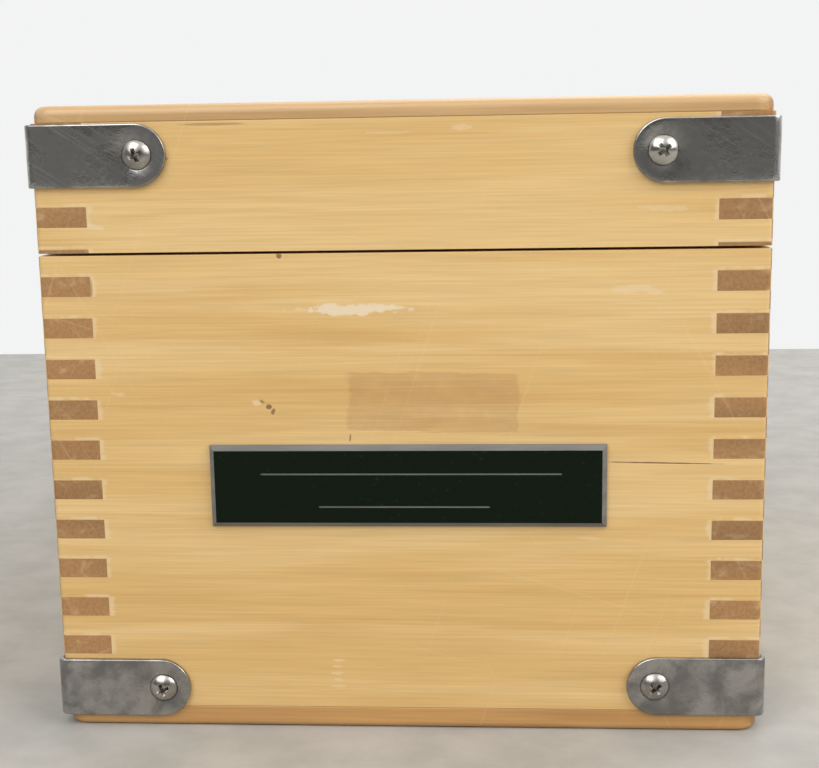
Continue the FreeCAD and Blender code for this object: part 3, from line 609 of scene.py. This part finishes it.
def makePanel(node, body, finish, outward, rim):
    # outward is 1 where the shown edge is the upper one, and -1 where it is the lower one
    low, high = (Vector(corner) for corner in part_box(node))
    size = high - low
    shape = bmesh.new()
    bmesh.ops.create_cube(shape, size=1.0)
    bmesh.ops.scale(shape, vec=size, verts=shape.verts)
    upright = [e for e in shape.edges if abs(e.verts[0].co.z - e.verts[1].co.z) > size.z / 2]
    easeEdges(shape, upright, panelShape["corner"], 10)
    for side in (1, -1):
        level = side * size.z / 2
        edges = [e for e in shape.edges
                 if all(abs(v.co.z - level) < 1e-6 for v in e.verts) and len(e.link_faces) == 2
                 and any(abs(f.normal.z) < 0.5 for f in e.link_faces)]
        easeEdges(shape, edges, rim if side == outward else panelShape["ease"], 6)
    bmesh.ops.translate(shape, vec=(high + low) / 2, verts=shape.verts)
    mesh = toMesh(shape, node + "_wood")
    keepEdges(addPiece(node + "_wood", mesh, finish, body, "panel_wood", node), 0)


makePanel("top_panel", "lid", finishes["top_panel"], 1, panelShape["topRound"])
makePanel("bottom_panel", "base", finishes["bottom_panel"], -1, panelShape["bottomRound"])
print("panels made")


# corner bracket of bent strip: the corner of the wood is the origin, the wood fills +x +y
bracketShape = {
    "thickness": 1.0 * mm,
    "width": 11.8 * mm,
    "reach": 25.9 * mm,
    "bend": 0.8 * mm,
    "holeInset": 5.5 * mm,
    "hole": 2.1 * mm,
    "sink": 0.9 * mm,
    "edge": 0.32 * mm,
    "roundSteps": 48,
    "bendSteps": 6,      # for half of the bend
}


def flatLeg(size, endCentre, holeCentre):
    # a rounded strip with a hole, as one layer of faces, and the edges it ends on at the bend
    outer = size["width"] / 2
    lie = Matrix.Rotation(pi / 2, 4, "X")
    shape = bmesh.new()
    rim = bmesh.ops.create_circle(shape, segments=size["roundSteps"], radius=outer,
                                  matrix=Matrix.Translation(endCentre) @ lie)["verts"]
    for vert in rim:
        away = vert.co - endCentre
        if away.x < 0:      # the half towards the bend is square
            vert.co = endCentre + away * (outer / max(abs(away.x), abs(away.z)))
    bmesh.ops.create_circle(shape, segments=size["roundSteps"], radius=size["hole"] + size["sink"],
                            matrix=Matrix.Translation(holeCentre) @ lie)
    bmesh.ops.bridge_loops(shape, edges=shape.edges[:])
    straight = size["bend"] - endCentre.x + outer
    root = [e for e in shape.edges if all(abs(v.co.x - (endCentre.x - outer)) < 1e-7 for v in e.verts)]
    for _ in range(2):
        strip = bmesh.ops.extrude_edge_only(shape, edges=root)["geom"]
        bmesh.ops.translate(shape, vec=(straight / 2, 0, 0), verts=onlyVerts(strip))
        root = [item for item in strip if isinstance(item, bmesh.types.BMEdge)]
    return shape, root


def foldBracket(shape, root, size):
    # half of the bend, then a second leg that mirrors the first, then the thickness
    bend = size["bend"]
    ends = list({v for e in root for v in e.verts})
    bmesh.ops.spin(shape, geom=root + ends, cent=(bend, bend, 0), axis=(0, 0, 1), angle=-pi / 4,
                   steps=size["bendSteps"])
    whole = shape.verts[:] + shape.edges[:] + shape.faces[:]
    other = bmesh.ops.duplicate(shape, geom=whole)["geom"]
    swap = Matrix(((0, 1, 0), (1, 0, 0), (0, 0, 1)))
    bmesh.ops.transform(shape, matrix=swap.to_4x4(), verts=onlyVerts(other))
    bmesh.ops.remove_doubles(shape, verts=shape.verts, dist=0.01 * mm)
    bmesh.ops.recalc_face_normals(shape, faces=shape.faces)
    facing = next(f for f in shape.faces if f.calc_center_median().x > size["reach"] / 2)
    if facing.normal.y > 0:
        bmesh.ops.reverse_faces(shape, faces=shape.faces)
    bmesh.ops.solidify(shape, geom=shape.faces[:], thickness=size["thickness"])


def makeBracket():
    size = bracketShape
    outer = -size["thickness"]
    mouth = size["hole"] + size["sink"]
    endCentre = Vector((size["reach"] - size["width"] / 2, outer, 0))
    holeCentre = Vector((size["reach"] - size["holeInset"], outer, 0))
    shape, root = flatLeg(size, endCentre, holeCentre)
    foldBracket(shape, root, size)
    for vert in shape.verts:
        # the countersink narrows towards the wood
        for across, along in ((1, 0), (0, 1)):
            if abs(vert.co[across]) < 0.2 * mm:
                away = hypot(vert.co[along] - holeCentre.x, vert.co.z)
                if away < mouth + 0.2 * mm:
                    shrink = size["hole"] / away
                    vert.co[along] = holeCentre.x + (vert.co[along] - holeCentre.x) * shrink
                    vert.co.z *= shrink
    shape.normal_update()

    def onRim(edge):
        if len(edge.link_faces) != 2 or edge.calc_face_angle(0) < radians(60):
            return False
        x, y, z = (edge.verts[0].co + edge.verts[1].co) / 2
        return min(hypot(x - holeCentre.x, z), hypot(y - holeCentre.x, z)) > mouth + 0.3 * mm

    easeEdges(shape, [e for e in shape.edges if onRim(e)], size["edge"], 3)
    return toMesh(shape, "bracket")


# how far a bracket is turned from the front left corner
cornerTurns = {"front_left": 0, "front_right": 90, "rear_right": 180, "rear_left": 270}
bracketMesh = makeBracket()
bracketPlaces = {}


def placeBracket(half, corner):
    node = f"{half}_corner_bracket_{corner}"
    low, high = (Vector(c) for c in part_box(node))
    inset = bracketShape["thickness"]
    x = low.x + inset if corner.endswith("left") else high.x - inset
    y = low.y + inset if corner.startswith("front") else high.y - inset
    turn = Matrix.Rotation(radians(cornerTurns[corner]), 4, "Z")
    place = Matrix.Translation((x, y, (low.z + high.z) / 2)) @ turn
    bracketPlaces[half, corner] = place
    mesh = bracketMesh.copy()
    mesh.transform(place)
    keepEdges(addPiece(f"{half}_bracket_{corner}", mesh, bracketFinish, half, "bracket_nickel", node), 0)


for half in ("base", "lid"):
    for corner in cornerTurns:
        placeBracket(half, corner)
print("brackets made")


# raised countersunk screws; z = 0 is the bracket's outer face
screwShape = {
    "head": 2.8 * mm,
    "dome": 1.2 * mm,
    "sink": 0.9 * mm,
    "shank": 1.4 * mm,
    "length": 8.6 * mm,
    "tip": 2.2 * mm,
    "arm": 1.6 * mm,
    "wing": 0.42 * mm,
    "depth": 1.7 * mm,
    "above": 0.3 * mm,      # how far the recess's cutter stands over the head
    "point": 0.35,
    "turns": (20, -28, 8, 37, -12, 41, 25, -35),                # degrees, one for each screw
    "lean": (2.5, -1.5, 3.0, 0.5, -2.0, 1.0, 2.0, -3.0),
}


def spunMesh(name, profile, segments=40):
    # profile points (out, up) from the axis at the top to the axis at the foot
    shape = bmesh.new()
    verts = [shape.verts.new((out, 0, up)) for out, up in profile]
    edges = [shape.edges.new(pair) for pair in zip(verts, verts[1:])]
    bmesh.ops.spin(shape, geom=verts + edges, cent=(0, 0, 0), axis=(0, 0, 1), angle=2 * pi,
                   steps=segments, use_merge=True)
    bmesh.ops.remove_doubles(shape, verts=shape.verts, dist=0.001 * mm)
    bmesh.ops.recalc_face_normals(shape, faces=shape.faces)
    return toMesh(shape, name)


def cutBy(mesh, cutters):
    # cuts one mesh by others and returns the result
    body = bpy.data.objects.new("blank", mesh)
    scene.collection.objects.link(body)
    tools = []
    for cutter in cutters:
        tool = bpy.data.objects.new("tool", cutter)
        scene.collection.objects.link(tool)
        cut = body.modifiers.new("cut", "BOOLEAN")
        cut.object = tool
        tools.append(tool)
    result = bpy.data.meshes.new_from_object(body.evaluated_get(bpy.context.evaluated_depsgraph_get()))
    for item in tools + [body]:
        bpy.data.objects.remove(item)
    return result


def taperedBar(length, width, top, depth, point):
    # a bar that narrows downwards, for a driver's recess
    shape = bmesh.new()
    bmesh.ops.create_cube(shape, size=1.0)
    for vert in shape.verts:
        share = 1.0 if vert.co.z > 0 else point
        vert.co = Vector((vert.co.x * 2 * length * share, vert.co.y * 2 * width * (0.5 + share / 2),
                          top if vert.co.z > 0 else top - depth))
    return toMesh(shape, "bar")


def domeProfile(head, dome, steps=7):
    # the arc from the crown to the rim of a domed head
    ball = (head * head + dome * dome) / (2 * dome)
    reaches = [head * k / steps for k in range(steps + 1)]
    return [(out, dome - ball + (ball * ball - out ** 2) ** 0.5) for out in reaches]


def makeBracketScrew():
    size = screwShape
    neck = size["head"] - size["sink"]
    profile = domeProfile(size["head"], size["dome"]) + [
        (neck, -size["sink"]),
        (size["shank"], -size["sink"]),
        (size["shank"], size["tip"] - size["length"]),
        (0, -size["length"]),
    ]
    above = size["above"]
    bar = taperedBar(size["arm"], size["wing"], size["dome"] + above, size["depth"] + above, size["point"])
    crossBar = bar.copy()
    crossBar.transform(Matrix.Rotation(pi / 2, 4, "Z"))
    return cutBy(spunMesh("screw", profile), [bar, crossBar])


def joinPlaced(name, mesh, places):
    shape = bmesh.new()
    for place in places:
        copy = mesh.copy()
        copy.transform(place)
        shape.from_mesh(copy)
    return toMesh(shape, name)


def screwPlaces(half):
    # two screws in each bracket, square to its legs but for a small lean
    along = bracketShape["reach"] - bracketShape["holeInset"]
    out = -bracketShape["thickness"]
    legs = (Matrix.Translation((along, out, 0)) @ Matrix.Rotation(pi / 2, 4, "X"),
            Matrix.Translation((out, along, 0)) @ Matrix.Rotation(-pi / 2, 4, "Y"))
    places = []
    for number, corner in enumerate(cornerTurns):
        for leg, face in enumerate(legs):
            turn = Matrix.Rotation(radians(screwShape["turns"][2 * number + leg]), 4, "Z")
            lean = Matrix.Rotation(radians(screwShape["lean"][2 * number + leg]), 4, "X")
            places.append(bracketPlaces[half, corner] @ face @ lean @ turn)
    return places


screwMesh = makeBracketScrew()
for half in ("base", "lid"):
    joined = joinPlaced(f"{half}_screws", screwMesh, screwPlaces(half))
    piece = addPiece(f"{half}_bracket_screw_heads", joined, screwFinish, half, "screw_steel",
                     f"{half}_bracket_screws")
    keepEdges(piece, 0.08 * mm, 40.0)
print("bracket screws made")


# bevelled label plate with two engraved lines
plateShape = {
    "bevel": 1.0 * mm,
    "rules": ((0.7 * mm, 2.55 * mm, 58.0 * mm), (-0.6 * mm, -3.95 * mm, 33.0 * mm)),   # x, z, length
    "ruleWidth": 0.34 * mm,
    "ruleDepth": 0.15 * mm,
}


def makePlate():
    low, high = (Vector(c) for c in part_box("name_plate"))
    size = high - low
    middle = (high + low) / 2
    shape = bmesh.new()
    bmesh.ops.create_cube(shape, size=1.0)
    bmesh.ops.scale(shape, vec=size, verts=shape.verts)
    front = next(f for f in shape.faces if f.normal.y < -0.5)
    easeEdges(shape, front.edges[:], plateShape["bevel"], 1)
    bmesh.ops.translate(shape, vec=middle, verts=shape.verts)

    def onFace(item):
        return all(abs(v.co.y - low.y) < 1e-7 for v in item.verts)

    for x, z, length in plateShape["rules"]:
        half = plateShape["ruleWidth"] / 2
        cuts = [((middle.x + x + sign * length / 2, 0, 0), (1, 0, 0)) for sign in (-1, 1)]
        cuts += [((0, 0, middle.z + z + sign * half), (0, 0, 1)) for sign in (-1, 1)]
        for point, normal in cuts:
            faces = [f for f in shape.faces if onFace(f)]
            edges = list({e for f in faces for e in f.edges})
            verts = list({v for f in faces for v in f.verts})
            bmesh.ops.bisect_plane(shape, geom=verts + edges + faces, plane_co=point, plane_no=normal)
        groove = [f for f in shape.faces if onFace(f)
                  and abs(f.calc_center_median().x - middle.x - x) < length / 2
                  and abs(f.calc_center_median().z - middle.z - z) < half]
        sunk = bmesh.ops.extrude_face_region(shape, geom=groove)["geom"]
        bmesh.ops.delete(shape, geom=groove, context="FACES_KEEP_BOUNDARY")
        bmesh.ops.translate(shape, vec=(0, plateShape["ruleDepth"], 0), verts=onlyVerts(sunk))
    finish = plateFinish(plateLook, low.y)
    addPiece("label_plate", toMesh(shape, "plate"), finish, "base", "plate_laminate", "name_plate")


makePlate()
print("label plate made")


for half in ("base", "lid"):
    for place in ("front", "rear"):
        fromCad(f"{half}_hinge_leaf_{place}", f"{half}_leaf_{place}", hingeFinish, "hinge_steel")
    fromCad(f"{half}_hinge_screws", f"{half}_leaf_screws", screwFinish, "hinge_steel", 0.06 * mm)
for place in ("front", "rear"):
    fromCad(f"hinge_pin_{place}", f"pin_{place}", hingeFinish, "hinge_steel", 0.05 * mm)
fromCad("latch_hook", "hook", hingeFinish, "latch_steel", 0.2 * mm)
fromCad("latch_washer", "hook_washer", hingeFinish, "latch_steel", 0.1 * mm)
fromCad("latch_pivot_screw", "hook_pivot_screw", screwFinish, "latch_steel", 0.08 * mm)
fromCad("latch_keeper_stud", "hook_stud", screwFinish, "latch_steel", 0.08 * mm)
print("hinges and hook dressed")


# floor, backdrop and light: each lamp is place, size and power
stageLook = {
    "floor": (0.450, 0.434, 0.402),
    "floorEnd": 0.40,
    "floorHalf": 1.6,
    "floorNear": -2.0,
    "lamps": {
        "key": ((-0.55, -0.95, 1.05), 1.1, 11.0),
        "right": ((1.00, -0.60, 0.80), 0.9, 9.5),
        "top": ((0.30, 0.55, 1.20), 1.2, 8.0),
    },
    "aim": (0, 0, 60 * mm),
    "fill": 0.42,
    "room": 0.08,                   # how bright the room in front is to the metal
    "behindFrom": (-0.55, 0.35),
    "aboveFrom": (0.25, 0.75),
    "wall": 0.9,
    "tint": (0.99, 1.0, 0.995),
}


def makeFloor(look):
    shape = bmesh.new()
    bmesh.ops.create_grid(shape, x_segments=1, y_segments=1, size=1.0)
    depth = look["floorEnd"] - look["floorNear"]
    bmesh.ops.scale(shape, vec=(look["floorHalf"], depth / 2, 1), verts=shape.verts)
    bmesh.ops.translate(shape, vec=(0, look["floorEnd"] - depth / 2, 0), verts=shape.verts)
    floor = bpy.data.objects.new("floor", toMesh(shape, "floor"))
    scene.collection.objects.link(floor)
    finish, tree, shader = newFinish("pale table")
    place = tree.nodes.new("ShaderNodeTexCoord")
    mottle = cloud(tree, place.outputs["Object"], (60, 60, 60), 5.0, 0.62)
    shade = between(tree, mottle, 0.3, 0.7, 0.90, 1.08)
    wire(tree, blendColour(tree, 1.0, look["floor"], shade, "MULTIPLY"), shader.inputs["Base Color"])
    shader.inputs["Roughness"].default_value = 0.7
    bumpy(tree, shader, mottle, 0.6 * mm, 0.25)
    floor.data.materials.append(finish)


def makeLamp(name, place, size, power):
    lamp = bpy.data.lights.new(name, "AREA")
    lamp.size = size
    lamp.energy = power
    holder = bpy.data.objects.new(name, lamp)
    aim = Vector(stageLook["aim"]) - Vector(place)
    holder.rotation_mode = "QUATERNION"
    holder.rotation_quaternion = aim.to_track_quat("-Z", "Y")
    holder.location = place
    scene.collection.objects.link(holder)


def pick(tree, share, under, over):
    mix = tree.nodes.new("ShaderNodeMix")
    mix.data_type = "FLOAT"
    for socket, value in zip((mix.inputs[0], mix.inputs[2], mix.inputs[3]), (share, under, over)):
        wire(tree, value, socket)
    return mix.outputs[0]


def makeWorld(look):
    # white for the eye, a dim room in front for the metal, an even fill for the rest
    world = bpy.data.worlds.new("studio")
    scene.world = world
    world.use_nodes = True
    tree = world.node_tree
    tree.nodes.clear()
    output = tree.nodes.new("ShaderNodeOutputWorld")
    light = tree.nodes.new("ShaderNodeBackground")
    path = tree.nodes.new("ShaderNodeLightPath")
    _, back, up = split(tree, tree.nodes.new("ShaderNodeTexCoord").outputs["Generated"])
    behind = between(tree, back, *look["behindFrom"])
    lit = calc(tree, "MAXIMUM", behind, between(tree, up, *look["aboveFrom"]))
    mirrored = calc(tree, "ADD", look["room"], product(tree, lit, 1.0 - look["room"]))
    strength = pick(tree, path.outputs["Is Glossy Ray"], look["fill"], mirrored)
    eye = calc(tree, "MAXIMUM", path.outputs["Is Camera Ray"], path.outputs["Is Transmission Ray"])
    wire(tree, look["tint"], light.inputs["Color"])
    wire(tree, pick(tree, eye, strength, look["wall"]), light.inputs["Strength"])
    wire(tree, light.outputs[0], output.inputs[0])


makeFloor(stageLook)
for name, (place, size, power) in stageLook["lamps"].items():
    makeLamp(name, place, size, power)
makeWorld(stageLook)
scene.view_settings.view_transform = "Standard"
print("floor and light set")
